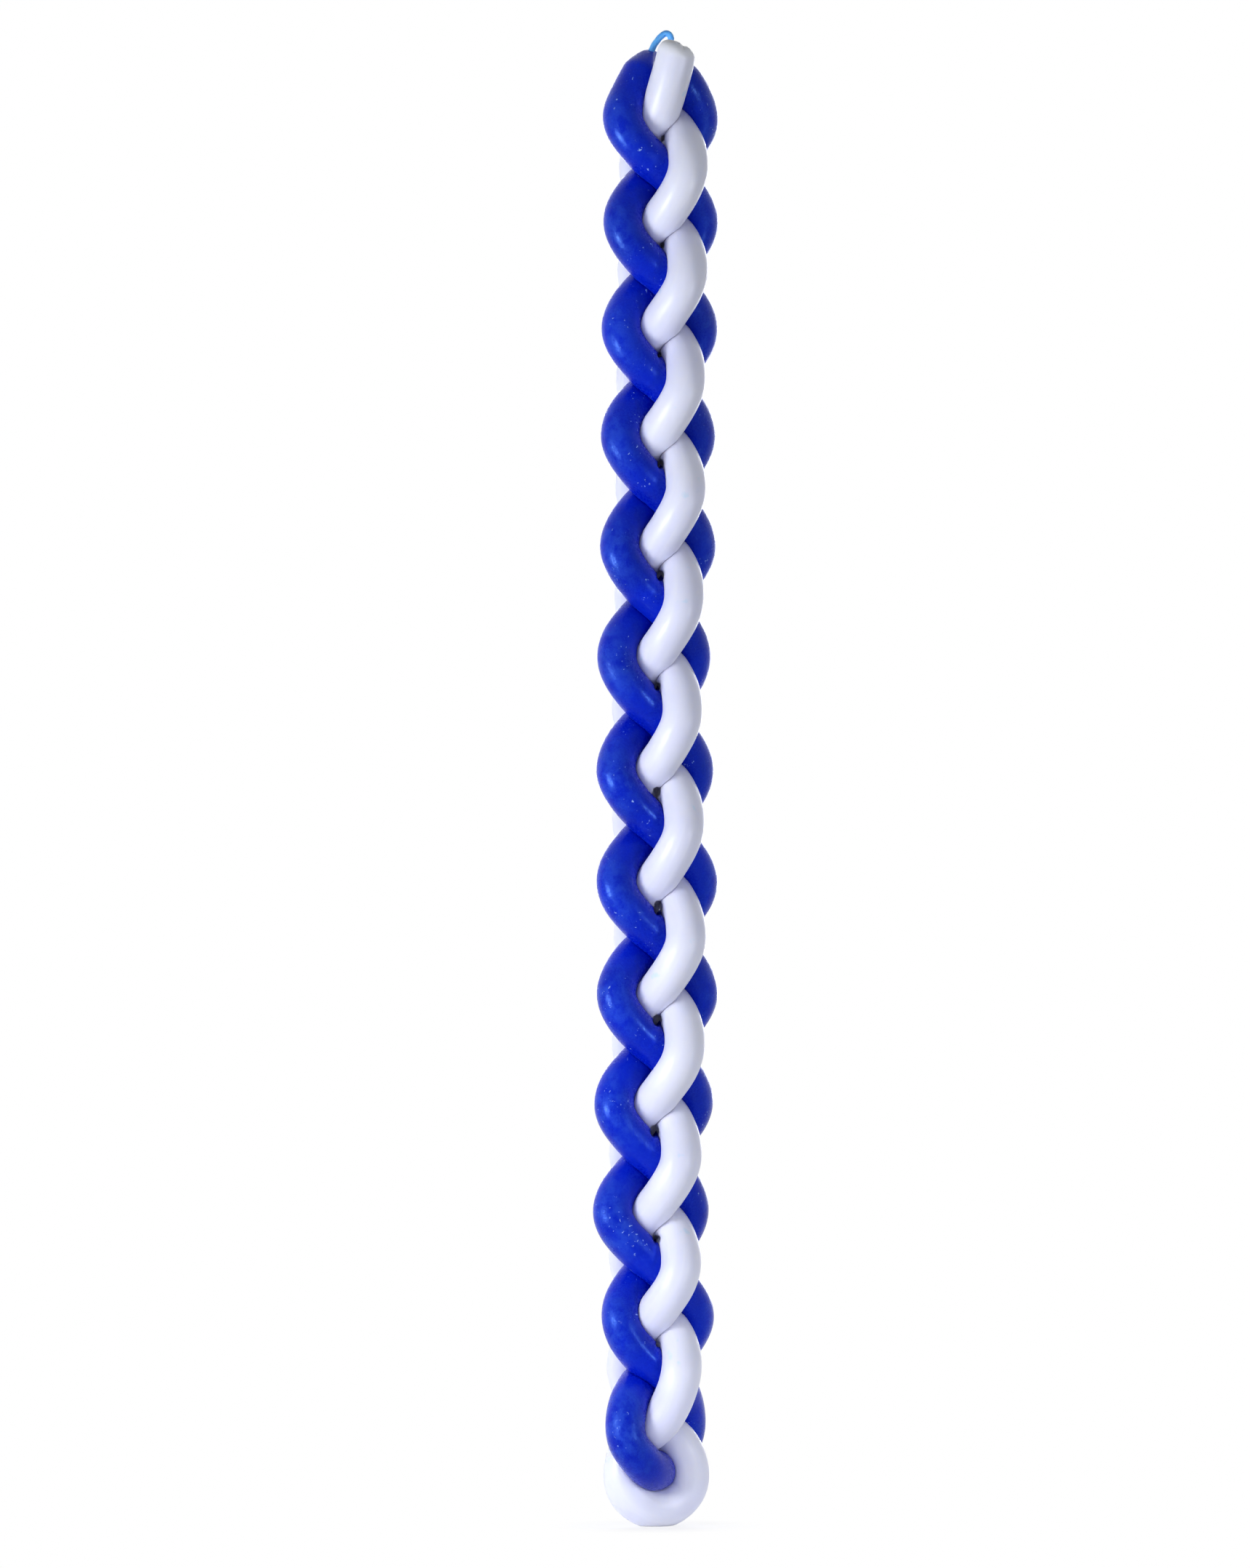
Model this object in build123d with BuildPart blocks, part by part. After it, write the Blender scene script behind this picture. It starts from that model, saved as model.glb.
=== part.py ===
"""Plaited candle of two wax tapers, one blue and one white.

Each taper is folded in half and the two folds hook through each other at the foot, so that four strands
rise from it. The strands are plaited round one another and press each other flat where they meet. A wick
runs the whole length of each taper. The origin is under the middle of the foot and the candle rises in +Z.
"""

from build123d import *
import os
from math import cos, pi, radians, sin, tau

# Sizes of a strand and of the plait, in millimetres
strand_diameter = 7.36      # a taper where nothing presses on it
core_press = 3.12           # flattening where two strands cross in the core of the plait
side_press = 1.06           # flattening where a strand passes over another
strand_gap = 0.2            # left between strands that press on each other
crossing_height = 20.36     # from one crossing to the next in the same column
crossing_slack = 1.36       # stray from even spacing, which leaves the crossings closer at both ends
crossing_count = 12         # spaces between the crossings of a column
white_drop = 0.6            # how much lower than the blue crossings the white ones sit
plait_turn = 211.4          # degrees about the axis, from +X to the lowest blue crossing

# Sizes of the two folds at the foot
loop_press = 0.56           # flattening between the white loop and the blue fold inside it
loop_lean = 1.2             # how far the sides of the white loop lean out of its plane
foot_flat = 0.5             # depth of the flat that the white loop stands on
fold_lift = 0.42            # blue fold above the middle of the white loop
fold_rise = 8.2             # from the blue fold up to the lowest crossing

# Route down one side of each fold: across and forwards in outer reaches, then height as a share of the rise
blue_fold_shape = ((0.812, 0.19, 1.653), (1.058, 0.501, 0.727), (0.66, 0.475, 0.241), (0.296, 0.285, 0.023))
white_fold_shape = ((0.075, 0.816, 1.56), (0.293, 0.381, 1.0), (0.527, -0.076, 0.66), (0.733, -0.2, 0.14))
loop_angles = (62, 31)      # degrees up the white loop from its lowest point

# Ends of the strands: crossings above the lowest one, and how far the end is then drawn upwards
blue_front_end = 12.45
blue_front_lift = 3.1
blue_rear_end = 12.45
blue_rear_lift = 1.7
white_front_end = 12.36
white_front_lift = 7.9
white_rear_end = 12.22
white_rear_lift = 4.0
blue_end_round = 2.2        # rounding of the blue ends
white_end_round = 1.6       # rounding of the white ends

# Sizes of the wicks
wick_diameter = 1.4
wick_clearance = 0.05       # between a wick and its bore, all round
blue_front_tip = ((1.2, 0.6, 2.6), (2.4, 0.8, 4.15), (3.25, 0.9, 4.75), (4.0, 0.9, 3.5))   # bent tip, from the wax
blue_rear_stub = 2.0        # straight tips beyond the other ends
white_front_stub = 0.3
white_rear_stub = 1.5

# Fineness of the curved forms
route_step = 0.25           # crossings between the points of a route
station_spacing = 2.0       # between the sections of a strand
mark_spacing = 0.8          # between the marks that neighbouring strands are measured to
spoke_count = 20            # points round a section
tip_sections = 12           # sections of the bent tip
rounding_angles = (0, 40, 70, 90)   # degrees round the rounding of an end, where it has sections
blend = 10                  # power that blends a round section into its flattened sides

# Values that follow from the sizes
strand_radius = strand_diameter / 2
inner_reach = (strand_diameter - core_press) / 2
outer_reach = inner_reach + strand_diameter - side_press
loop_radius = strand_diameter - loop_press
loop_middle = loop_radius + strand_radius - foot_flat
fold_height = loop_middle + fold_lift
lowest_crossing = fold_height + fold_rise
own_stretch = 1.6 * strand_diameter     # no nearer than this along its route does a strand meet itself
near_enough = 1.5 * strand_diameter     # marks further off in height press on nothing
wick_radius = wick_diameter / 2
bore_radius = wick_radius + wick_clearance


def crossing_level(crossings):
    """Height of a place in the plait, counted in crossings above the lowest one."""
    stray = crossing_slack * sin(tau * crossings / crossing_count)
    return lowest_crossing + crossing_height * crossings - stray


def blue_place(crossings):
    """Middle of the front blue strand: outside at each crossing, inside halfway between."""
    angle = pi * crossings
    return Vector(outer_reach * cos(angle), -inner_reach * sin(angle), crossing_level(crossings))


def white_place(crossings):
    """Middle of the front white strand: inside at each blue crossing, outside halfway between."""
    angle = pi * crossings
    level = crossing_level(crossings) - white_drop
    return Vector(inner_reach * cos(angle), outer_reach * sin(angle), level)


def strand(place, first, end, lift):
    """Points up one strand, from its first place in the plait to its lifted end."""
    steps = round((end - first) / route_step)
    points = [place(first + step * route_step) for step in range(steps)]
    return points + [place(end) + Vector(0, 0, lift)]


def fold_side(shape, foot):
    """Points down one side of a fold, from the lowest crossing to near the foot of the fold."""
    points = []
    for across, ahead, share in shape:
        level = foot + share * (lowest_crossing - foot)
        points.append(Vector(outer_reach * across, outer_reach * ahead, level))
    return points


def loop_side(angles):
    """Points down one side of the white loop."""
    points = []
    for angle in angles:
        across = sin(radians(angle))
        level = loop_middle - loop_radius * cos(radians(angle))
        points.append(Vector(loop_radius * across, -loop_lean * across**2, level))
    return points


def opposite(points):
    """The same points half a turn round the candle's axis."""
    return [Vector(-point.X, -point.Y, point.Z) for point in points]


def whole_route(front, side, lowest, rear):
    """Points down the front strand, round the fold and up the rear strand, turned to their place."""
    points = front[::-1] + side + [Vector(0, 0, lowest)] + opposite(side[::-1]) + opposite(rear)
    return [point.rotate(Axis.Z, plait_turn) for point in points]


def marks(route):
    """Evenly spaced marks along a route, each with its distance from the start."""
    edge = route.edge()
    count = round(edge.length / mark_spacing)
    return [(mark_spacing * step, edge @ (step / count)) for step in range(count + 1)]


def station_distances(length, end_round):
    """Distances of the sections along a taper, close together on its rounded ends."""
    rounding = [end_round * (1 - cos(radians(angle))) for angle in rounding_angles]
    first = 2 * end_round
    count = round((length - 2 * first) / station_spacing)
    middle = [first + step * (length - 2 * first) / count for step in range(count + 1)]
    return rounding + middle + [length - distance for distance in rounding[::-1]]


def taper_places(route, end_round):
    """Point and direction of each section along a taper."""
    edge = route.edge()
    shares = [distance / edge.length for distance in station_distances(edge.length, end_round)]
    return [(edge @ share, edge % share) for share in shares]


def untwisted_planes(places):
    """Planes square to a route at these places, none turned about it from the one before."""
    sideways = Vector(1, 0, 0)
    planes = []
    for point, along in places:
        sideways = (sideways - along * sideways.dot(along)).normalized()
        planes.append(Plane(point, x_dir=sideways, z_dir=along))
    return planes


def end_fullness(distance, length, end_round):
    """Share of its full reach that a strand keeps this near to a rounded end."""
    inside = min(distance, length - distance, end_round)
    lost = end_round - (end_round**2 - (end_round - inside) ** 2) ** 0.5
    return 1 - lost / strand_radius


def pressed_outline(plane, aways, fullness):
    """Points round a section, each at its own radius or halfway to a neighbour, whichever is nearer."""
    outline = []
    for step in range(spoke_count):
        angle = tau * step / spoke_count
        spoke = plane.x_dir * cos(angle) + plane.y_dir * sin(angle)
        sides = [away.dot(away) / (2 * away.dot(spoke)) for away in aways if away.dot(spoke) > 0]
        flat = min(sides, default=2 * outer_reach)
        reach = fullness * (strand_radius**-blend + flat**-blend) ** (-1 / blend) - strand_gap / 2
        outline.append(Vector(reach * cos(angle), reach * sin(angle)))
    return outline


def pressed_taper(route, other_route, end_round):
    """A bored taper along a route, flattened where it meets its own other half or the other taper."""
    length = route.edge().length
    distances = station_distances(length, end_round)
    planes = untwisted_planes(taper_places(route, end_round))
    own_marks = marks(route)
    other_marks = [mark for _, mark in marks(other_route)]
    turns = [step / spoke_count for step in range(spoke_count + 1)]
    with BuildPart() as taper:
        for distance, plane in zip(distances, planes):
            middle = plane.origin
            facing = [mark for place, mark in own_marks if abs(place - distance) > own_stretch] + other_marks
            aways = [mark - middle for mark in facing if abs(mark.Z - middle.Z) < near_enough]
            outline = pressed_outline(plane, aways, end_fullness(distance, length, end_round))
            with BuildSketch(plane):
                with BuildLine():
                    add(Edge.make_spline(outline, periodic=True, parameters=turns))
                make_face()
                Circle(bore_radius, mode=Mode.SUBTRACT)
        loft(ruled=True, clean=False)
    return taper.part


def bent_tip(route, offsets):
    """Places from the loose end of a bent wick tip to the wax at the front end of a route."""
    root = route.edge() @ 0
    outwards = (route.edge() % 0) * -1
    points = [root + Vector(*offset) for offset in offsets]
    with BuildLine() as tip:
        Spline(root, *points, tangents=(outwards, points[-1] - points[-2]))
    shares = [1 - step / tip_sections for step in range(tip_sections)]
    return [(tip.edge() @ share, (tip.edge() % share) * -1) for share in shares]


def front_stub(route, length):
    """Place of the loose end of a straight tip at the front end of a route."""
    along = route.edge() % 0
    return [(route.edge() @ 0 - along * length, along)]


def rear_stub(route, length):
    """Place of the loose end of a straight tip at the rear end of a route."""
    along = route.edge() % 1
    return [(route.edge() @ 1 + along * length, along)]


def cord(places):
    """A round wick through these places."""
    with BuildPart() as wick:
        for plane in untwisted_planes(places):
            with BuildSketch(plane):
                Circle(wick_radius)
        loft(ruled=True, clean=False)
    return wick.part


# Routes of the two tapers
with BuildLine() as blue_route:
    Spline(
        *whole_route(
            strand(blue_place, 2 * route_step, blue_front_end, blue_front_lift),
            fold_side(blue_fold_shape, fold_height),
            fold_height,
            strand(blue_place, 2 * route_step, blue_rear_end, blue_rear_lift),
        )
    )
with BuildLine() as white_route:
    Spline(
        *whole_route(
            strand(white_place, 2 * route_step, white_front_end, white_front_lift),
            fold_side(white_fold_shape, loop_middle) + loop_side(loop_angles),
            loop_middle - loop_radius,
            strand(white_place, 2 * route_step, white_rear_end, white_rear_lift),
        )
    )

# Blue taper, hooked through the white loop
with BuildPart() as blue_taper:
    add(pressed_taper(blue_route, white_route, blue_end_round))
blue_taper.part.label = "blue_taper"

# White taper, whose loop stands on a flat
with BuildPart() as white_taper:
    add(pressed_taper(white_route, blue_route, white_end_round))
    split(bisect_by=Plane.XY, keep=Keep.TOP)
white_taper.part.label = "white_taper"

# Blue wick, with a long bent tip at the front
with BuildPart() as blue_wick:
    blue_inside = taper_places(blue_route, blue_end_round)
    add(cord(bent_tip(blue_route, blue_front_tip) + blue_inside + rear_stub(blue_route, blue_rear_stub)))
blue_wick.part.label = "blue_wick"

# White wick, trimmed close at both ends
with BuildPart() as white_wick:
    white_inside = taper_places(white_route, white_end_round)
    white_stub = front_stub(white_route, white_front_stub)
    add(cord(white_stub + white_inside + rear_stub(white_route, white_rear_stub)))
white_wick.part.label = "white_wick"

os.makedirs("parts", exist_ok=True)
export_step(blue_taper.part, "parts/blue_taper.step")
export_step(white_taper.part, "parts/white_taper.step")
export_step(blue_wick.part, "parts/blue_wick.step")
export_step(white_wick.part, "parts/white_wick.step")
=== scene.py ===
from math import cos, pi, radians, sin, tau

import bpy
import numpy as np
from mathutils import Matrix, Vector


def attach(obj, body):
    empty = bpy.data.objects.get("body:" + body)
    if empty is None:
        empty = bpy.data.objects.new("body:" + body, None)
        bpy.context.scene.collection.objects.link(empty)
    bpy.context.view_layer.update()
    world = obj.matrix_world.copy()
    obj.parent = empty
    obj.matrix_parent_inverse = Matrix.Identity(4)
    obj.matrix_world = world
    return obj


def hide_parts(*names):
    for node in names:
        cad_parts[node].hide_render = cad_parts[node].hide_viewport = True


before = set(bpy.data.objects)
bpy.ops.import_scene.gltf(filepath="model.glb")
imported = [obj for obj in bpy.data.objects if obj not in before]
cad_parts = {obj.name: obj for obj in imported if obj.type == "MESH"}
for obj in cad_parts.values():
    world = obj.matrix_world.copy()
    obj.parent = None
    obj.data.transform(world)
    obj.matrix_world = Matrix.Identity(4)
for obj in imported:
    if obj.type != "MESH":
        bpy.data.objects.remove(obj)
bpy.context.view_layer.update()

MM = 0.001                      # lengths are in metres

# Sizes of the plait, the same as in the solids
STRAND_RADIUS = 3.68 * MM
INNER_REACH = 2.12 * MM         # from the axis to the middle of a strand on the inside of the plait
OUTER_REACH = 8.42 * MM         # from the axis to the middle of a strand on the outside
CROSSING_HEIGHT = 20.36 * MM    # from one crossing to the next in the same column
CROSSING_SLACK = 1.36 * MM      # stray from even spacing, which leaves the crossings closer at both ends
CROSSING_COUNT = 12             # spaces between the crossings of a column
WHITE_DROP = 0.6 * MM           # how much lower than the blue crossings the white ones sit
PLAIT_TURN = radians(211.4)     # about the axis, from +X to the lowest blue crossing
LOOP_RADIUS = 6.8 * MM          # of the middle of the strand in the white loop
LOOP_LEAN = 1.2 * MM            # how far the sides of the white loop lean out of its plane
FOOT_FLAT = 0.5 * MM            # depth of the flat that the white loop stands on
FOLD_LIFT = 0.42 * MM           # blue fold above the middle of the white loop
FOLD_RISE = 8.2 * MM            # from the blue fold up to the lowest crossing
LOOP_MIDDLE = LOOP_RADIUS + STRAND_RADIUS - FOOT_FLAT
FOLD_HEIGHT = LOOP_MIDDLE + FOLD_LIFT
LOWEST_CROSSING = FOLD_HEIGHT + FOLD_RISE
ROUTE_STEP = 0.25               # crossings between the points of a route
ROUTE_START = 2 * ROUTE_STEP    # crossings up to the first point above a fold

# Route down one side of each fold: across and forwards in outer reaches, then height as a share of the rise
BLUE_FOLD = ((0.812, 0.19, 1.653), (1.058, 0.501, 0.727), (0.66, 0.475, 0.241), (0.296, 0.285, 0.023))
WHITE_FOLD = ((0.075, 0.816, 1.56), (0.293, 0.381, 1.0), (0.527, -0.076, 0.66), (0.733, -0.2, 0.14))
LOOP_ANGLES = (62, 31)          # degrees up the white loop from its lowest point

# Ends of the strands: crossings above the lowest one, and how far the end is then drawn upwards
BLUE_FRONT, BLUE_FRONT_LIFT = 12.45, 3.7 * MM       # drawn up more than in the solids
BLUE_REAR, BLUE_REAR_LIFT = 12.45, 1.7 * MM
WHITE_FRONT, WHITE_FRONT_LIFT = 12.36, 7.9 * MM
WHITE_REAR, WHITE_REAR_LIFT = 12.22, 4.0 * MM

# Form of the ends, which are rounder than in the solids
BLUE_END_ROUND = (2.7 * MM, 4.2 * MM)       # rounding of an end, across and along the strand
WHITE_END_ROUND = (1.9 * MM, 2.0 * MM)
END_DOME = 0.1                  # swelling of a cut face, as a share of its width
END_SQUEEZE = 0.09              # share of its width that a strand loses towards its end
SQUEEZE_LENGTH = 8 * MM
END_BLEND = 4.5 * MM            # length over which the shape of a cut dies away
SLOPE_POWER = 2                 # how steeply the slope of a cut dies away
TEAR_POWER = 14                 # how steeply a tear dies away

# Lifts of the ends over a square cut, in mm. A slope goes by powers of the mm to the right, highest first
BLUE_SLOPE = (-0.09, 0.25, 1.0)
BLUE_LEAN = 0.6                 # lift added for each mm backwards
WHITE_SLOPE = (-0.03, -0.2, -0.2)
WHITE_NOTCH = (0.9, 0.35, -0.4)     # mm to the right, half width and lift
WHITE_CRUMB = (2.2, 0.6, 0.2)
REAR_LEAN = 0.06                # lift of the rear ends for each mm backwards

# Wicks, a little thinner than in the solids
WICK_RADIUS = 0.62 * MM
BORE_RADIUS = 0.66 * MM
BLUE_TIP = (                    # bent tip: mm to the right, backwards and up from the wax
    (0.4, 0.15, 0.9), (1.2, 0.5, 2.4), (2.2, 0.75, 3.6), (3.1, 0.9, 4.15), (3.8, 0.9, 3.85), (4.1, 0.9, 2.8),
)
BLUE_REAR_STUB = 2.0 * MM       # straight tips beyond the other ends
WHITE_FRONT_STUB = -0.25 * MM   # cut off below the wax
WHITE_REAR_STUB = 1.5 * MM
PLY_COUNT = 3
PLY_PITCH = 5 * MM              # length of one turn of the plies
PLY_DEPTH = 0.035               # half the depth between plies, as a share of the radius
TIP_FULLNESS = 0.72             # share of its radius that a loose end keeps
TIP_LENGTH = 0.4 * MM           # length over which a loose end comes to its full radius

# Strays of the left and right lobes from an even plait: mm to the right, at heights in mm from the foot up
STRAY_HEIGHTS = (0, 19, 28, 38, 58, 79, 100, 121, 143, 163, 184, 204, 225, 245, 264, 281)
BLUE_STRAYS = ((0.1, 0.1, 0.4, 0.75, -0.9, -0.65, -0.3, -0.3, -0.3, -0.1, 0.45, 0.6, 0.7, 1.05, 1.0, 0.9),
               (0.1, -0.5, -0.4, -0.3, -1.2, -0.4, 0.6, 0.45, -0.35, -1.0, 0.15, 0, 0.4, 0.5, 0.6, 0.8))
WHITE_STRAYS = ((0.1, 0, -1.5, -0.6, -0.6, -0.5, 0.1, 0, 0, 0.2, 0.8, 0.7, 0.8, 1.4, 1.4, 0.9),
                (0.1, -0.35, 0.4, 0.4, -0.3, 0.3, 1.1, 0.9, 0.3, 0, 0.8, 0.6, 0.9, 1.2, 1.1, 0.9))

# Marks of hand work in the strands, as shares of the strand's radius
FULLNESS = 1.02                 # mean radius
WAVES = (                       # length along the strand, lobes round it, and size
    (70 * MM, 0, 0.012), (33 * MM, 1, 0.01), (21 * MM, 2, 0.012), (12 * MM, 3, 0.005), (7 * MM, 1, 0.004),
)
DENT_COUNT = 70
DENT_DEPTHS = (0.004, 0.02)
DENT_WIDTHS = (0.6 * MM, 2.2 * MM)
DENT_REACH = 3                  # widths from its middle to where a dent has died away
BLUE_SEED, WHITE_SEED = 3, 8

# Creases where strands press on each other
CREASE_BLEND = 0.15 * MM        # rounding between a round section and its flattened sides
CREASE_GAP = 0.02 * MM          # between two strands that press on each other
OWN_STRETCH = 3.2 * STRAND_RADIUS       # no nearer than this along its route does a strand meet itself
NEAR_ENOUGH = 2.6 * STRAND_RADIUS       # strands whose middles are further off press on nothing
NO_FLAT = 4 * STRAND_RADIUS             # reach that stands for no flattening
LEAST_TOWARD = 1e-9                     # stands for zero where a spoke points away from a strand

# Photo frame
PHOTO_WIDTH, PHOTO_HEIGHT = 1719, 2156
PIXEL = 0.1362 * MM             # one photo pixel at the candle
AXIS_COLUMN = 903               # photo column of the candle's axis
FOOT_ROW = 2098                 # photo row of the candle's foot

# Openings between the strands at the front: photo column and row, width and height in photo pixels
OPENINGS = (
    (912, 191, 1.5, 11), (911, 338, 3, 6), (907, 490, 3, 8), (908, 639, 7, 11),
    (908, 792, 9, 13), (904, 944, 7, 9), (903, 1089, 9, 13), (905, 1248, 11, 20),
    (904, 1402, 11, 14), (900, 1554, 11, 15), (903, 1702, 10, 8), (905, 1847, 4, 5),
)
OPENING_DEPTH = 2.8 * MM
OPENING_EDGE = 0.08 * MM        # softening round an opening
OPENING_ACROSS = 0.28           # share of its width from the middle of an opening to its sides
OPENING_UP = 0.3                # share of its height from the middle to its top and bottom
OPENING_POWER = 3               # steepness of its sides

# Fineness of the meshes
STATION_SPACING = 0.5 * MM      # between the rings of a taper
ROUNDING_RINGS = 11             # rings round the rounding of an end
ROUNDING_SPAN = 1.25            # lengths of the rounding from an end to the first evenly spaced ring
SPOKES = 48                     # points round a taper
CAP_RINGS = 9                   # rings over a cut face
BORE_STEP = 6                   # rings outside for one in the bore
MARK_SPACING = 0.6 * MM         # between the marks that neighbouring strands are measured to
LINE_SPACING = 0.1 * MM         # between the points that a line is read from
WICK_POINT_SPACING = 2 * MM     # between the points of a wick's line inside the wax
WICK_SPACING = 1 * MM           # between the rings of a wick inside the wax
TIP_SPACING = 0.12 * MM         # between the rings of a wick near its loose ends
TIP_STRETCH = 12 * MM           # length of wick with close rings
WICK_SPOKES = 24
FLOOR_SIDES = 64

# Places of the patterns in the waxes
BLOOM_AND_HIGHLIGHT_REACH = (7.5 * MM, 11.0 * MM)    # from the axis to where the paler bloom and painted highlight on the blue begin and are full
FROSTED_END = (0.2 * MM, 3.0 * MM)      # from a white end to where its frost begins to fade and is gone
FLECK_WANDER = 1.2 * MM                 # how far the outline of a fleck wanders

# Colours, in linear light
WHITE = (1, 1, 1, 1)
DEEP_BLUE = (0.0003, 0.008, 0.38, 1)
CLEAR_BLUE = (0.0006, 0.014, 0.52, 1)
BLUE_FROST = (0.06, 0.2, 0.85, 1)
# paler blue of bloom and painted highlight, for the outer sides of the strands
BLUE_BLOOM_AND_HIGHLIGHT = (0.1, 0.3, 0.97, 1)
BLUE_SCUFF = (0.14, 0.3, 0.85, 1)
BLUE_FLECK = (0.42, 0.62, 0.96, 1)
BLUE_GLOSS = (0.18, 0.42, 1, 1)
DULL_WHITE = (0.785, 0.79, 0.965, 1)
CLEAR_WHITE = (0.835, 0.84, 0.985, 1)
WHITE_STREAK = (0.93, 0.94, 0.99, 1)
WHITE_FROST = (0.95, 0.96, 0.99, 1)
BLUE_SMEAR = (0.42, 0.74, 0.97, 1)
BLUE_YARN = ((0.09, 0.4, 0.98, 1), (0.18, 0.58, 1.0, 1))
WHITE_YARN = ((0.7, 0.7, 0.66, 1), (0.88, 0.88, 0.84, 1))
FLOOR_GREY = (0.86, 0.86, 0.87, 1)
ROOM_LIGHT = (0.84, 0.88, 1, 1)
LAMP_LIGHT = (0.87, 0.9, 1)

# Stage, light and camera
FLOOR_RADIUS = 0.12
FLOOR_SHADOW = (0.004, 0.022)   # from the axis to where the floor begins and ends turning plain white
FLOOR_WHITENESS = (0.75, 1.0)   # share of plain white at those places
ROOM_STRENGTH = 0.04
CAMERA_DISTANCE = 2.0
CAMERA_DEPTH = 20               # furthest that the camera sees
SENSOR_WIDTH = 36               # in mm, as Blender takes it
MIDDLE, FOOT, TOP = (0, 0, 0.14), (0, 0, 0.015), (0, 0, 0.27)       # places that the lamps point at
LAMPS = (                       # name, place, target, size, power and whether reflections show it
    ("left_lamp", (-0.29, -0.215, 0.12), MIDDLE, (0.13, 0.11), 1.18, True),
    ("right_lamp", (0.30, -0.27, 0.13), MIDDLE, (0.08, 0.08), 0.46, True),
    ("front_lamp", (-0.25, -0.85, 0.36), MIDDLE, (0.6, 0.6), 1.34, False),
    ("back_lamp", (0.08, 0.65, 0.25), MIDDLE, (0.5, 0.4), 2.6, True),
    ("back_left_lamp", (-0.45, 0.3, 0.2), MIDDLE, (0.3, 0.3), 0.65, False),
    ("back_right_lamp", (0.45, 0.3, 0.2), MIDDLE, (0.3, 0.3), 0.75, False),
    ("foot_lamp", (0.03, -0.18, 0.02), FOOT, (0.08, 0.03), 0.04, False),
    ("top_lamp", (-0.06, -0.16, 0.42), TOP, (0.1, 0.1), 0.09, False),
)


# Routes

def crossing_level(crossings):
    """Height of a place in the plait, counted in crossings above the lowest one."""
    stray = CROSSING_SLACK * sin(tau * crossings / CROSSING_COUNT)
    return LOWEST_CROSSING + CROSSING_HEIGHT * crossings - stray


def blue_place(crossings):
    """Middle of the front blue strand: outside at each crossing, inside halfway between."""
    angle = pi * crossings
    return (OUTER_REACH * cos(angle), -INNER_REACH * sin(angle), crossing_level(crossings))


def white_place(crossings):
    """Middle of the front white strand: inside at each blue crossing, outside halfway between."""
    angle = pi * crossings
    return (INNER_REACH * cos(angle), OUTER_REACH * sin(angle), crossing_level(crossings) - WHITE_DROP)


def strand(place, end, lift):
    """Points up one strand, from its first place above the fold to its lifted end."""
    steps = round((end - ROUTE_START) / ROUTE_STEP)
    points = [place(ROUTE_START + step * ROUTE_STEP) for step in range(steps)]
    return np.array(points + [np.add(place(end), (0, 0, lift))])


def fold_side(shape, foot):
    """Points down one side of a fold, from the lowest crossing to near the foot of the fold."""
    rise = LOWEST_CROSSING - foot
    return np.array([(OUTER_REACH * x, OUTER_REACH * y, foot + rise * share) for x, y, share in shape])


def loop_side():
    """Points down one side of the white loop."""
    angles = np.radians(LOOP_ANGLES)
    across = np.sin(angles)
    return np.c_[LOOP_RADIUS * across, -LOOP_LEAN * across**2, LOOP_MIDDLE - LOOP_RADIUS * np.cos(angles)]


def whole_route(front, side, lowest, rear):
    """Points down the front strand, round the fold and up the rear strand, turned to their place."""
    half_turn = np.array((-1, -1, 1))
    points = np.concatenate((front[::-1], side, [(0, 0, lowest)], side[::-1] * half_turn, rear * half_turn))
    turn = np.array(((cos(PLAIT_TURN), -sin(PLAIT_TURN)), (sin(PLAIT_TURN), cos(PLAIT_TURN))))
    return np.c_[points[:, :2] @ turn.T, points[:, 2]]


def strayed(points, strays):
    """The points of a route, moved sideways as the left and right lobes stray at their heights."""
    left, right = (np.interp(points[:, 2] / MM, STRAY_HEIGHTS, stray) for stray in strays)
    share = 0.5 + 0.5 * points[:, 0] / OUTER_REACH
    across = points[:, 0] + (left + (right - left) * share) * MM
    return np.c_[across, points[:, 1:]]


def spline(points):
    """A natural cubic spline through points.

    It gives a function from distances along the points' chords to places, and the length of the chords.
    """
    knots = np.r_[0, np.cumsum(np.linalg.norm(np.diff(points, axis=0), axis=1))]
    gaps = np.diff(knots)
    count = len(points)
    system = np.eye(count)
    right = np.zeros((count, 3))
    slopes = np.diff(points, axis=0) / gaps[:, None]
    for i in range(1, count - 1):
        system[i, i - 1:i + 2] = gaps[i - 1], 2 * (gaps[i - 1] + gaps[i]), gaps[i]
        right[i] = 6 * (slopes[i] - slopes[i - 1])
    bends = np.linalg.solve(system, right)

    def place(at):
        i = np.clip(np.searchsorted(knots, at) - 1, 0, count - 2)
        after, before = (at - knots[i])[:, None], (knots[i + 1] - at)[:, None]
        gap = gaps[i][:, None]
        straight = points[i] * before / gap + points[i + 1] * after / gap
        lift = bends[i] * (before**3 / gap - before * gap) + bends[i + 1] * (after**3 / gap - after * gap)
        return straight + lift / 6

    return place, knots[-1]


class Line:
    """A smooth line through points, read by distance along it."""

    def __init__(self, points):
        place, chord = spline(points)
        self.dense = place(np.linspace(0, chord, int(chord / LINE_SPACING)))
        steps = np.linalg.norm(np.diff(self.dense, axis=0), axis=1)
        self.distance = np.r_[0, np.cumsum(steps)]
        self.length = self.distance[-1]
        self.slope = np.gradient(self.dense, self.distance, axis=0)

    def places(self, distances):
        """Points at these distances along the line."""
        return np.stack([np.interp(distances, self.distance, self.dense[:, k]) for k in range(3)], 1)

    def directions(self, distances):
        """Directions of the line at these distances along it."""
        along = np.stack([np.interp(distances, self.distance, self.slope[:, k]) for k in range(3)], 1)
        return along / np.linalg.norm(along, axis=1, keepdims=True)


# Rings round a line

def untwisted(along):
    """Two directions square to each direction of a line, none turned about it from the one before."""
    side = np.zeros_like(along)
    last = np.array((1.0, 0, 0))
    for i, ahead in enumerate(along):
        last = last - ahead * last.dot(ahead)
        last /= np.linalg.norm(last)
        side[i] = last
    return side, np.cross(along, side)


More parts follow.
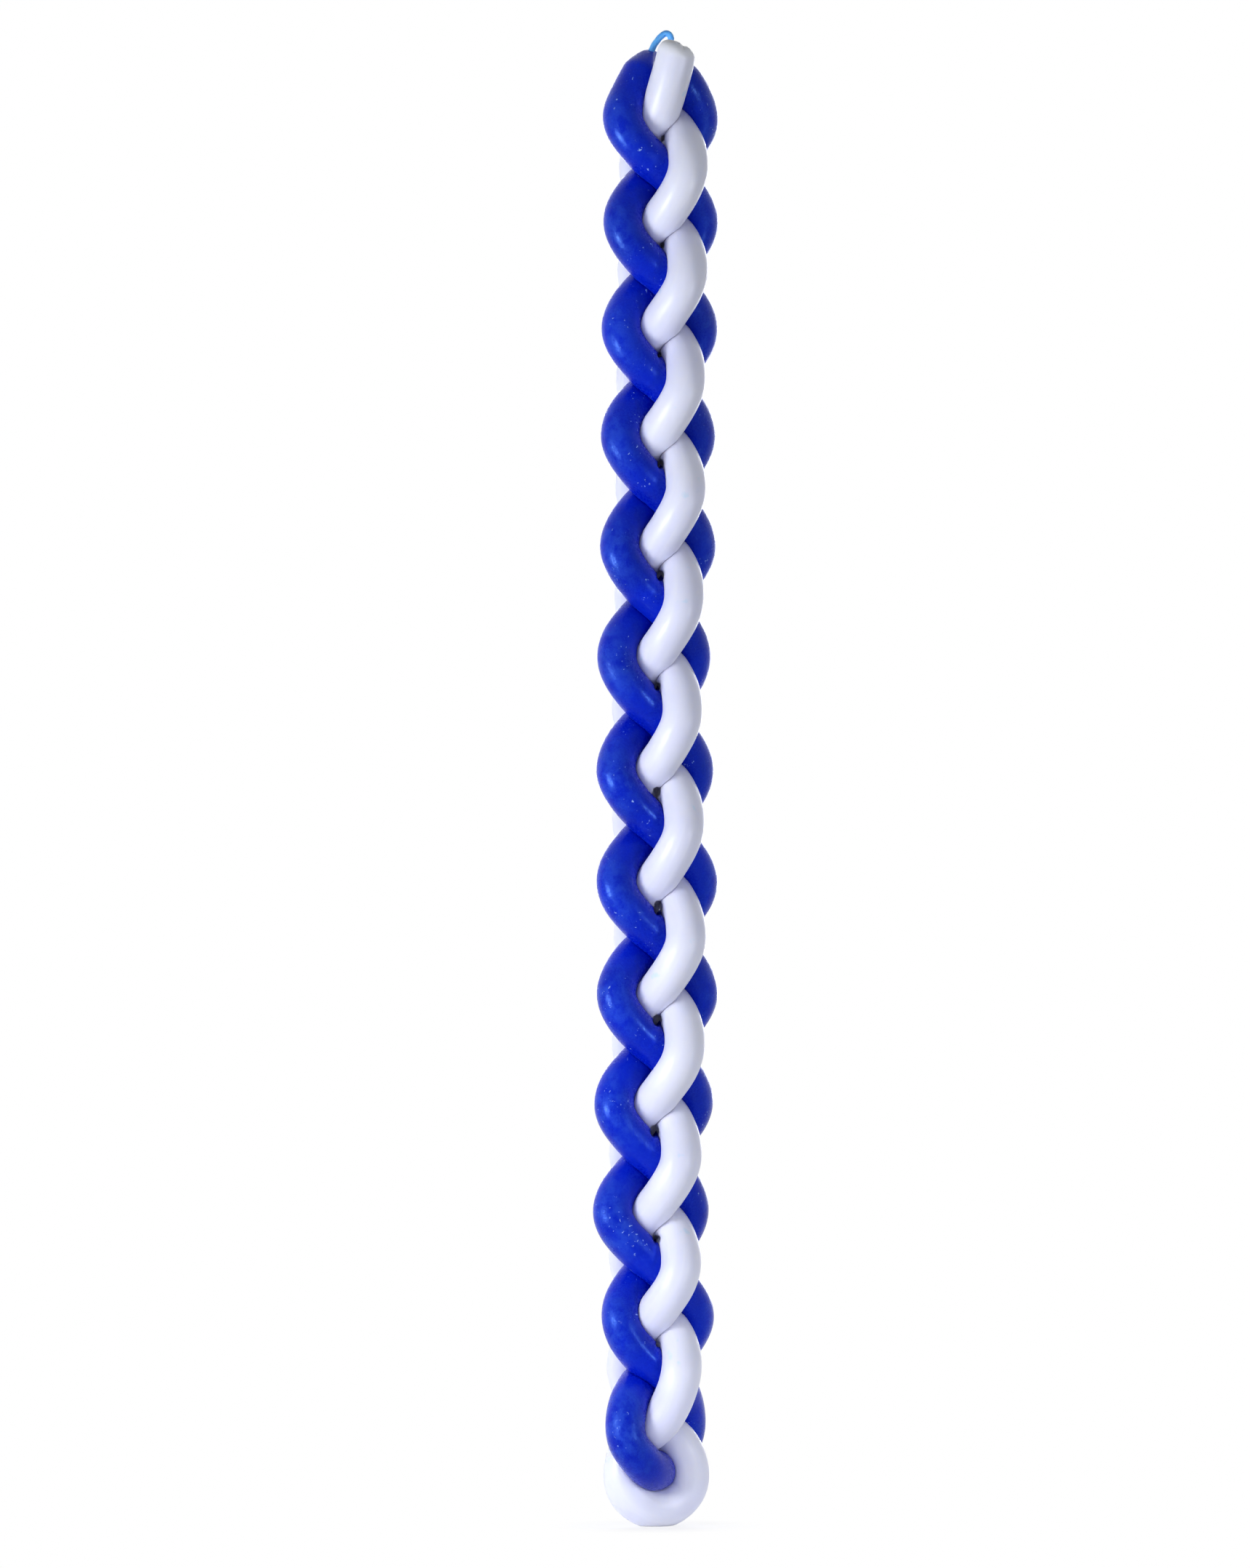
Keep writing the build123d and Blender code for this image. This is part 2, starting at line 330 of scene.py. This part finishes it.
def spokes_round(along, count):
    """Evenly spaced angles round a line, and for each of its directions the spokes at those angles."""
    angles = np.arange(count) * tau / count
    side, up = untwisted(along)
    spokes = side[:, None] * np.cos(angles)[:, None] + up[:, None] * np.sin(angles)[:, None]
    return angles, spokes


def strand_places(distances, angles, radius):
    """Where the points of rings lie on a straight, round strand: distance along it, then two ways across."""
    along, turn = np.meshgrid(distances, angles, indexing="ij")
    return np.stack((along, radius * np.cos(turn), radius * np.sin(turn)), 2)


def point_attribute(mesh, name, kind, field, values):
    """Gives a mesh a value at each of its points, for its material to read."""
    attribute = mesh.attributes.new(name, kind, "POINT")
    attribute.data.foreach_set(field, values.reshape(-1).astype(np.float32))


def ring_mesh(name, rings, places, closed):
    """A piece of four-sided faces over rings of points. Closed joins the last ring to the first."""
    count, spokes = rings.shape[:2]
    index = np.arange(count * spokes).reshape(count, spokes)
    lower = index if closed else index[:-1]
    upper = np.roll(index, -1, 0) if closed else index[1:]
    corners = np.stack((lower, np.roll(lower, -1, 1), np.roll(upper, -1, 1), upper), 2)
    faces = corners.reshape(-1, 4).tolist()
    if not closed:
        faces += [index[0, ::-1].tolist(), index[-1].tolist()]
    mesh = bpy.data.meshes.new(name)
    mesh.from_pydata(rings.reshape(-1, 3).tolist(), [], faces)
    from_start = places[..., 0]
    from_end = np.minimum(from_start, from_start.max() - from_start)
    point_attribute(mesh, "strand", "FLOAT_VECTOR", "vector", places)
    point_attribute(mesh, "end_distance", "FLOAT", "value", from_end)
    mesh.shade_smooth()
    mesh.validate()
    piece = bpy.data.objects.new(name, mesh)
    bpy.context.scene.collection.objects.link(piece)
    return piece


# Wax tapers

def station_distances(length, end_round):
    """Distances of the rings along a taper, close together on its rounded ends."""
    _, round_along = end_round
    rounding = round_along * (1 - np.cos(np.linspace(0, pi / 2, ROUNDING_RINGS)))
    first = ROUNDING_SPAN * round_along
    count = int((length - 2 * first) / STATION_SPACING)
    return np.r_[rounding, np.linspace(first, length - first, count), length - rounding[::-1]]


def end_fullness(distances, length, end_round):
    """Share of its full reach that a strand keeps near its ends, which are squeezed and rounded."""
    round_across, round_along = end_round
    inside = np.minimum(distances, length - distances)
    squeezed = 1 - END_SQUEEZE * np.maximum(1 - inside / SQUEEZE_LENGTH, 0) ** 2
    outwards = np.maximum(1 - inside / round_along, 0)
    rounded = 1 - round_across * (1 - np.sqrt(1 - outwards**2)) / STRAND_RADIUS
    return squeezed * rounded


def hand_made(distances, angles, seed):
    """Radius of a strand as a share of an even one's, with the swellings, flats and dents of hand work."""
    rng = np.random.default_rng(seed)
    shape = np.full((len(distances), len(angles)), FULLNESS)
    for wave_length, lobes, size in WAVES:
        phase, turn = rng.uniform(0, tau, 2)
        along = tau * distances / wave_length + phase
        shape += size * np.outer(np.sin(along), np.cos(lobes * angles + turn))
    for _ in range(DENT_COUNT):
        place, turn = rng.uniform(0, distances[-1]), rng.uniform(0, tau)
        depth, width = rng.uniform(*DENT_DEPTHS), rng.uniform(*DENT_WIDTHS)
        near = np.abs(distances - place) < DENT_REACH * width
        lengthways = (distances[near] - place) / width
        crossways = STRAND_RADIUS * ((angles - turn + pi) % tau - pi) / width
        shape[near] -= depth * np.exp(-(lengthways[:, None] ** 2 + crossways**2))
    return shape


def pressed_reach(line, other_line, distances, spokes, radius):
    """How far a strand reaches along each spoke: to its own radius, or halfway to a strand that it meets."""
    own_marks = np.arange(0, line.length, MARK_SPACING)
    own_places = line.places(own_marks)
    other_places = other_line.places(np.arange(0, other_line.length, MARK_SPACING))
    reach = np.empty(radius.shape)
    for i, middle in enumerate(line.places(distances)):
        facing = own_places[np.abs(own_marks - distances[i]) > OWN_STRETCH]
        away = np.concatenate((facing, other_places)) - middle
        away = away[(away**2).sum(1) < NEAR_ENOUGH**2]
        toward = np.maximum(spokes[i] @ away.T, LEAST_TOWARD)
        flat = ((away**2).sum(1) / (2 * toward)).min(1, initial=NO_FLAT)
        close = np.maximum(CREASE_BLEND - np.abs(radius[i] - flat), 0)
        reach[i] = np.minimum(radius[i], flat) - close**2 / (4 * CREASE_BLEND)
    return reach - CREASE_GAP / 2


def opened(surface):
    """How far a surface is pressed back round the openings that the plait leaves at the front."""
    back = np.zeros(surface.shape[:2])
    for column, row, width, height in OPENINGS:
        across = surface[..., 0] - (column - AXIS_COLUMN) * PIXEL
        up = surface[..., 2] - (FOOT_ROW - row) * PIXEL
        across /= OPENING_ACROSS * width * PIXEL + OPENING_EDGE
        up /= OPENING_UP * height * PIXEL + OPENING_EDGE
        back = np.maximum(back, np.exp(-(np.hypot(across, up) ** OPENING_POWER)))
    at_front = surface[..., 1] < 0
    return OPENING_DEPTH * back * at_front


def torn(across, place, half_width, lift):
    """Lift of a small notch or crumb, across an end."""
    return lift * np.exp(-(((across - place) / half_width) ** 2))


def white_front_cut(away):
    """Slope and tears of the front white end: lower on the right, with a notch and a crumb there."""
    across = away[..., 0] / MM
    tear = torn(across, *WHITE_NOTCH) + torn(across, *WHITE_CRUMB)
    return np.polyval(WHITE_SLOPE, across) * MM, tear * MM


def blue_front_cut(away):
    """Slope of the front blue end, drawn up to the right and leaning forwards, and no tears."""
    across, behind = away[..., 0] / MM, away[..., 1] / MM
    return (np.polyval(BLUE_SLOPE, across) + BLUE_LEAN * behind) * MM, np.zeros_like(across)


def rear_cut(away):
    """Slope of a rear end, a little higher behind, and no tears."""
    behind = away[..., 1]
    return REAR_LEAN * behind, np.zeros_like(behind)


def cut_end(outside, bore, middle, wall, distances, outwards, cut):
    """Shapes the outside of a taper near its first ring as that end was cut, and gives rings over the cut.

    Cut gives the lift of points over a square cut by their way from its middle: a slope, and tears in it.
    """
    shares = np.linspace(0, 1, CAP_RINGS + 1)[1:]
    square = outside[0] + (bore[0] - outside[0]) * shares[:, None, None]
    slope, tear = cut(square - middle)
    dome = END_DOME * wall * np.sin(shares * pi / 2)[:, None]
    face = square + outwards * (slope + tear + dome)[..., None]
    near = distances < END_BLEND
    share = (1 - distances[near] / END_BLEND)[:, None]
    slope, tear = cut(outside[near] - middle)
    outside[near] += outwards * (slope * share**SLOPE_POWER + tear * share**TEAR_POWER)[..., None]
    return face


def taper_rings(line, other_line, end_round, seed, front_cut):
    """Rings of points over a bored taper, and the places of those points on a straight strand.

    The rings go along the outside, in over the rear end, back through the bore and out over the front end.
    """
    distances = station_distances(line.length, end_round)
    middles, along = line.places(distances), line.directions(distances)
    angles, spokes = spokes_round(along, SPOKES)
    radius = STRAND_RADIUS * hand_made(distances, angles, seed)
    reach = pressed_reach(line, other_line, distances, spokes, radius)
    reach *= end_fullness(distances, line.length, end_round)[:, None]
    reach -= opened(middles[:, None] + spokes * reach[..., None])
    outside = middles[:, None] + spokes * reach[..., None]
    bore = middles[:, None] + spokes * BORE_RADIUS
    wall = reach - BORE_RADIUS
    from_rear = line.length - distances[::-1]
    rear = cut_end(outside[::-1], bore[::-1], middles[-1], wall[-1], from_rear, along[-1], rear_cut)
    front = cut_end(outside, bore, middles[0], wall[0], distances, -along[0], front_cut)
    inside = np.arange(0, len(distances), BORE_STEP)[-2:0:-1]
    rings = np.concatenate((outside, rear, bore[inside], front[::-1]))
    stretches = (distances, np.repeat(distances[-1], CAP_RINGS), distances[inside], np.zeros(CAP_RINGS))
    return rings, strand_places(np.concatenate(stretches), angles, STRAND_RADIUS)


# Wicks

def wick_line(line, front_points, rear_stub):
    """Line of a wick: its points at the front, then the middle of its taper, then its rear stub."""
    inside = line.places(np.arange(WICK_POINT_SPACING, line.length, WICK_POINT_SPACING))
    rear = line.places([line.length])
    stub = rear + line.directions([line.length]) * rear_stub
    return Line(np.concatenate((front_points, inside, rear, stub)))


def wick_rings(line):
    """Rings over a waxed yarn of twisted plies, and the places of their points on a straight yarn."""
    ends = np.arange(round(TIP_STRETCH / TIP_SPACING)) * TIP_SPACING
    inside = np.arange(TIP_STRETCH, line.length - TIP_STRETCH, WICK_SPACING)
    distances = np.r_[ends, inside, line.length - ends[::-1]]
    angles, spokes = spokes_round(line.directions(distances), WICK_SPOKES)
    ply = np.cos(PLY_COUNT * (angles - tau * distances[:, None] / PLY_PITCH))
    reach = WICK_RADIUS * (1 - PLY_DEPTH + PLY_DEPTH * ply)
    from_tip = np.minimum(distances, line.length - distances)
    reach *= (TIP_FULLNESS + (1 - TIP_FULLNESS) * np.sqrt(np.minimum(from_tip / TIP_LENGTH, 1)))[:, None]
    rings = line.places(distances)[:, None] + spokes * reach[..., None]
    return rings, strand_places(distances, angles, WICK_RADIUS)


# Shader nodes

def add_node(tree, kind, settings=None, inputs=None):
    """A new node with these settings, and with these values or links at its inputs."""
    made = tree.nodes.new(kind)
    for name, value in (settings or {}).items():
        setattr(made, name, value)
    for name, value in (inputs or {}).items():
        if isinstance(value, bpy.types.NodeSocket):
            tree.links.new(value, made.inputs[name])
        else:
            made.inputs[name].default_value = value
    return made


def calculated(tree, operation, *values):
    """The result of a Math node."""
    made = add_node(tree, "ShaderNodeMath", {"operation": operation}, dict(enumerate(values)))
    return made.outputs["Value"]


def times(tree, first, second):
    """The product of two values."""
    return calculated(tree, "MULTIPLY", first, second)


def plus(tree, first, second):
    """The sum of two values."""
    return calculated(tree, "ADD", first, second)


def vector_calculated(tree, operation, *values):
    """A Vector Math node."""
    return add_node(tree, "ShaderNodeVectorMath", {"operation": operation}, dict(enumerate(values)))


def object_place(tree):
    """The place on the object, in metres."""
    return add_node(tree, "ShaderNodeTexCoord").outputs["Object"]


def attribute(tree, name):
    """The node that reads one of the values that ring_mesh gives to points."""
    return add_node(tree, "ShaderNodeAttribute", {"attribute_name": name})


def stretched(tree, vector, lengthways):
    """A place on a strand, with its distance along the strand scaled."""
    inputs = {"Vector": vector, "Scale": (lengthways, 1, 1)}
    return add_node(tree, "ShaderNodeMapping", inputs=inputs).outputs["Vector"]


def noise_node(tree, vector, scale, detail=3.0, roughness=0.5):
    """A noise pattern with about this many features to the metre."""
    inputs = {"Vector": vector, "Scale": scale, "Detail": detail, "Roughness": roughness}
    return add_node(tree, "ShaderNodeTexNoise", inputs=inputs)


def noise(tree, vector, scale, detail=3.0, roughness=0.5):
    """The value of a noise pattern, from 0 to 1."""
    return noise_node(tree, vector, scale, detail, roughness).outputs["Fac"]


def span(tree, value, low, high, to_low=0.0, to_high=1.0):
    """A value that goes smoothly from to_low to to_high while another goes from low to high."""
    inputs = {"Value": value, "From Min": low, "From Max": high, "To Min": to_low, "To Max": to_high}
    made = add_node(tree, "ShaderNodeMapRange", {"interpolation_type": "SMOOTHSTEP"}, inputs)
    return made.outputs["Result"]


def mix(tree, share, first, second):
    """A colour between two others. Its node has colours at sockets 6 and 7, and their mixture at 2."""
    made = add_node(tree, "ShaderNodeMix", {"data_type": "RGBA"}, {0: share, 6: first, 7: second})
    return made.outputs[2]


def overlaid(tree, colour, over, pattern, strength):
    """A colour with another over it where a pattern is, at this strength."""
    return mix(tree, times(tree, pattern, strength), colour, over)


def seen(tree):
    """1 for rays that are seen, directly, in a reflection or through a clear thing, and 0 for other rays."""
    rays = add_node(tree, "ShaderNodeLightPath").outputs
    direct_or_reflected = calculated(tree, "MAXIMUM", rays["Is Camera Ray"], rays["Is Glossy Ray"])
    return calculated(tree, "MAXIMUM", direct_or_reflected, rays["Is Transmission Ray"])


def mixed_shader(tree, share, first, second):
    """The output of a node that mixes two shaders."""
    return add_node(tree, "ShaderNodeMixShader", inputs={0: share, 1: first, 2: second}).outputs["Shader"]


# Materials

def new_material(name, shader_inputs):
    """A material, its node tree and its shader, with the values that are the same all over its surface."""
    material = bpy.data.materials.new(name)
    material.use_nodes = True
    tree = material.node_tree
    tree.nodes.clear()
    shader = add_node(tree, "ShaderNodeBsdfPrincipled", inputs=shader_inputs)
    add_node(tree, "ShaderNodeOutputMaterial", inputs={"Surface": shader.outputs["BSDF"]})
    return material, tree, shader


def set_surface(tree, shader, colour, roughness, height, depth):
    """Links patterns of colour, roughness and bump to a shader. Depth is the height of a bump of 1."""
    bump = add_node(tree, "ShaderNodeBump", inputs={"Height": height, "Distance": depth})
    tree.links.new(colour, shader.inputs["Base Color"])
    tree.links.new(roughness, shader.inputs["Roughness"])
    tree.links.new(bump.outputs["Normal"], shader.inputs["Normal"])


def blue_flecks(tree, place):
    """Small ragged flecks, in patches."""
    wander = noise_node(tree, place, scale=900, detail=2).outputs["Color"]
    ragged = vector_calculated(tree, "MULTIPLY_ADD", wander, (FLECK_WANDER,) * 3, place).outputs["Vector"]
    flecks = span(tree, noise(tree, ragged, scale=1500, detail=2, roughness=0.6), 0.66, 0.71)
    return times(tree, flecks, span(tree, noise(tree, place, scale=170, roughness=0.6), 0.53, 0.6))


def blue_scuffs(tree, place):
    """Short scratches along the strand, in patches."""
    lengthways = stretched(tree, attribute(tree, "strand").outputs["Vector"], lengthways=0.25)
    scuffs = span(tree, noise(tree, lengthways, scale=1300, roughness=0.6), 0.62, 0.74)
    return times(tree, scuffs, span(tree, noise(tree, place, scale=120, detail=2), 0.48, 0.6))


def bloom_and_painted_highlight(tree, place):
    """Paler blotches on the sides of the strands that face out of the plait: frosty bloom, and a painted
    highlight standing in for the broad gloss on those sides.
    """
    level = vector_calculated(tree, "MULTIPLY", place, (1, 1, 0)).outputs["Vector"]
    reach = vector_calculated(tree, "LENGTH", level).outputs["Value"]
    blotches = span(tree, noise(tree, place, scale=420, detail=4, roughness=0.65), 0.36, 0.62)
    return times(tree, span(tree, reach, *BLOOM_AND_HIGHLIGHT_REACH), blotches)


def blue_wax():
    """Deep blue wax with frosty bloom in patches, paler outer sides of bloom and painted highlight, scuffs
    and pale flecks.
    """
    material, tree, shader = new_material("blue_wax", {
        "Subsurface Weight": 0.15,
        "Subsurface Radius": (0.2, 0.4, 1.0),
        "Subsurface Scale": 0.6 * MM,
        "IOR": 1.45,
        "Specular IOR Level": 0.5,
        "Specular Tint": BLUE_GLOSS,
    })
    place = object_place(tree)
    tone = span(tree, noise(tree, place, scale=70), 0.3, 0.7)
    patches = span(tree, noise(tree, place, scale=95, detail=2), 0.44, 0.62)
    grain = noise(tree, place, scale=1900, roughness=0.65)
    frost = times(tree, patches, span(tree, grain, 0.42, 0.66))
    colour = mix(tree, tone, DEEP_BLUE, CLEAR_BLUE)
    colour = overlaid(tree, colour, BLUE_FROST, frost, strength=0.05)
    # paler outer sides: bloom, and a painted highlight standing in for the broad gloss there
    colour = overlaid(tree, colour, BLUE_BLOOM_AND_HIGHLIGHT, bloom_and_painted_highlight(tree, place), strength=0.12)
    colour = overlaid(tree, colour, BLUE_SCUFF, blue_scuffs(tree, place), strength=0.06)
    colour = overlaid(tree, colour, BLUE_FLECK, blue_flecks(tree, place), strength=0.7)
    patch_roughness = plus(tree, times(tree, patches, 0.1), 0.2)
    roughness = plus(tree, patch_roughness, span(tree, grain, 0.42, 0.6, 0, 0.14))
    lumps = plus(tree, noise(tree, place, scale=1300, roughness=0.6), times(tree, grain, 0.5))
    lump_share = plus(tree, times(tree, patches, 0.7), 0.3)
    height = plus(tree, noise(tree, place, scale=260), times(tree, lumps, lump_share))
    set_surface(tree, shader, colour, roughness, height, depth=0.065 * MM)
    return material


def white_wax():
    """Slightly see-through white wax, whiter at its cut ends, with faint streaks and rubbed-off blue."""
    material, tree, shader = new_material("white_wax", {
        "Subsurface Weight": 1.0,
        "Subsurface Radius": (0.9, 0.95, 1.0),
        "Subsurface Scale": 1.5 * MM,
        "IOR": 1.44,
    })
    place = object_place(tree)
    lengthways = stretched(tree, attribute(tree, "strand").outputs["Vector"], lengthways=0.1)
    end_distance = attribute(tree, "end_distance").outputs["Fac"]
    tone = span(tree, noise(tree, place, scale=60), 0.3, 0.7)
    streaks = span(tree, noise(tree, lengthways, scale=800, detail=4, roughness=0.55), 0.45, 0.75)
    smears = span(tree, noise(tree, place, scale=210, roughness=0.55), 0.66, 0.74)
    frost = span(tree, end_distance, *FROSTED_END, 1.0, 0.0)
    colour = mix(tree, tone, DULL_WHITE, CLEAR_WHITE)
    colour = overlaid(tree, colour, WHITE_STREAK, streaks, strength=0.2)
    colour = overlaid(tree, colour, BLUE_SMEAR, smears, strength=0.35)
    colour = overlaid(tree, colour, WHITE_FROST, frost, strength=0.7)
    wax_roughness = plus(tree, times(tree, noise(tree, place, scale=500, detail=4), 0.16), 0.28)
    roughness = plus(tree, wax_roughness, times(tree, frost, 0.15))
    fine_share = plus(tree, times(tree, frost, 0.8), 0.15)
    fine = times(tree, noise(tree, place, scale=1100), fine_share)
    fine_and_streaks = plus(tree, fine, times(tree, streaks, 0.2))
    height = plus(tree, noise(tree, place, scale=200), fine_and_streaks)
    set_surface(tree, shader, colour, roughness, height, depth=0.05 * MM)
    return material


def yarn(name, dark, light):
    """Waxed yarn of fine fibres, blotched with its darker colour."""
    material, tree, shader = new_material(name, {
        "Subsurface Weight": 0.2,
        "Subsurface Scale": 0.3 * MM,
    })
    along = attribute(tree, "strand").outputs["Vector"]
    fibres = noise(tree, stretched(tree, along, lengthways=0.2), scale=5200, detail=5, roughness=0.6)
    blotches = span(tree, noise(tree, along, scale=900), 0.5, 0.8, 0, 0.3)
    colour = mix(tree, span(tree, fibres, 0.35, 0.65), dark, light)
    colour = mix(tree, blotches, colour, dark)
    roughness = span(tree, fibres, 0.3, 0.7, 0.42, 0.62)
    set_surface(tree, shader, colour, roughness, fibres, depth=0.06 * MM)
    return material


def floor_material():
    """Pale floor that keeps a little shadow near the foot and is seen as plain white further off."""
    material, tree, shader = new_material("pale_floor", {"Base Color": FLOOR_GREY, "Roughness": 0.7})
    from_axis = vector_calculated(tree, "LENGTH", object_place(tree)).outputs["Value"]
    plain = span(tree, from_axis, *FLOOR_SHADOW, *FLOOR_WHITENESS)
    white = add_node(tree, "ShaderNodeEmission", inputs={"Color": WHITE, "Strength": 1.0})
    share = times(tree, plain, seen(tree))
    both = mixed_shader(tree, share, shader.outputs["BSDF"], white.outputs["Emission"])
    tree.links.new(both, tree.get_output_node("ALL").inputs["Surface"])
    return material


# Floor, light and camera

def pale_floor():
    """A round floor under the candle."""
    angles = [tau * step / FLOOR_SIDES for step in range(FLOOR_SIDES)]
    rim = [(FLOOR_RADIUS * cos(angle), FLOOR_RADIUS * sin(angle), 0) for angle in angles]
    mesh = bpy.data.meshes.new("pale_floor")
    mesh.from_pydata(rim, [], [tuple(range(FLOOR_SIDES))])
    mesh.materials.append(floor_material())
    floor = bpy.data.objects.new("pale_floor", mesh)
    bpy.context.scene.collection.objects.link(floor)


def plain_world():
    """Soft light from all round, seen as white behind the candle."""
    world = bpy.data.worlds.new("soft_room")
    bpy.context.scene.world = world
    world.use_nodes = True
    tree = world.node_tree
    tree.nodes.clear()
    room = add_node(tree, "ShaderNodeBackground", inputs={"Color": ROOM_LIGHT, "Strength": ROOM_STRENGTH})
    white = add_node(tree, "ShaderNodeBackground", inputs={"Color": WHITE, "Strength": 1.0})
    both = mixed_shader(tree, seen(tree), room.outputs["Background"], white.outputs["Background"])
    add_node(tree, "ShaderNodeOutputWorld", inputs={"Surface": both})


def soft_lamp(name, place, target, size, power, glossy):
    """A flat lamp that the camera doesn't see, and that reflections show only if it is glossy."""
    data = bpy.data.lights.new(name, "AREA")
    data.shape = "RECTANGLE"
    data.size, data.size_y = size
    data.energy = power
    data.color = LAMP_LIGHT
    lamp = bpy.data.objects.new(name, data)
    lamp.location = place
    lamp.visible_camera = False
    lamp.visible_glossy = glossy
    lamp.rotation_euler = (Vector(target) - Vector(place)).to_track_quat("-Z", "Y").to_euler()
    bpy.context.scene.collection.objects.link(lamp)


def photo_camera():
    """A long lens square on to the candle, framed as the photo frames it."""
    data = bpy.data.cameras.new("camera")
    data.sensor_width = SENSOR_WIDTH
    data.lens = SENSOR_WIDTH * CAMERA_DISTANCE / (PHOTO_HEIGHT * PIXEL)
    data.clip_end = CAMERA_DEPTH
    camera = bpy.data.objects.new("camera", data)
    across = (PHOTO_WIDTH / 2 - AXIS_COLUMN) * PIXEL
    up = (FOOT_ROW - PHOTO_HEIGHT / 2) * PIXEL
    camera.location = (across, -CAMERA_DISTANCE, up)
    camera.rotation_euler = (radians(90), 0, 0)
    bpy.context.scene.collection.objects.link(camera)
    bpy.context.scene.camera = camera


def finish_piece(piece, node, material):
    """Gives a piece its material and its place in the frame."""
    piece.data.materials.append(material)
    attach(piece, "root")
    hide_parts(node)


# Lines of the two tapers
blue_route = whole_route(
    strand(blue_place, BLUE_FRONT, BLUE_FRONT_LIFT),
    fold_side(BLUE_FOLD, FOLD_HEIGHT),
    FOLD_HEIGHT,
    strand(blue_place, BLUE_REAR, BLUE_REAR_LIFT),
)
white_route = whole_route(
    strand(white_place, WHITE_FRONT, WHITE_FRONT_LIFT),
    np.concatenate((fold_side(WHITE_FOLD, LOOP_MIDDLE), loop_side())),
    LOOP_MIDDLE - LOOP_RADIUS,
    strand(white_place, WHITE_REAR, WHITE_REAR_LIFT),
)
blue_line = Line(strayed(blue_route, BLUE_STRAYS))
white_line = Line(strayed(white_route, WHITE_STRAYS))

# Blue taper, hooked through the white loop
rings, places = taper_rings(blue_line, white_line, BLUE_END_ROUND, BLUE_SEED, blue_front_cut)
blue_taper = ring_mesh("blue_taper_wax", rings, places, closed=True)
finish_piece(blue_taper, "blue_taper", blue_wax())

# White taper, whose loop stands on a flat
rings, places = taper_rings(white_line, blue_line, WHITE_END_ROUND, WHITE_SEED, white_front_cut)
rings[..., 2] = np.maximum(rings[..., 2], 0)
white_taper = ring_mesh("white_taper_wax", rings, places, closed=True)
finish_piece(white_taper, "white_taper", white_wax())

# Blue wick, with a long bent tip at the front
blue_root = blue_line.places([0])
blue_tip = np.concatenate((blue_root + np.array(BLUE_TIP[::-1]) * MM, blue_root))
rings, places = wick_rings(wick_line(blue_line, blue_tip, BLUE_REAR_STUB))
blue_wick = ring_mesh("blue_wick_yarn", rings, places, closed=False)
finish_piece(blue_wick, "blue_wick", yarn("blue_wick_yarn", *BLUE_YARN))

# White wick, trimmed close at both ends
white_stub = white_line.places([0]) - white_line.directions([0]) * WHITE_FRONT_STUB
rings, places = wick_rings(wick_line(white_line, white_stub, WHITE_REAR_STUB))
white_wick = ring_mesh("white_wick_yarn", rings, places, closed=False)
finish_piece(white_wick, "white_wick", yarn("white_wick_yarn", *WHITE_YARN))

# Stage
pale_floor()
plain_world()
for lamp in LAMPS:
    soft_lamp(*lamp)
photo_camera()
bpy.context.scene.view_settings.view_transform = "Standard"
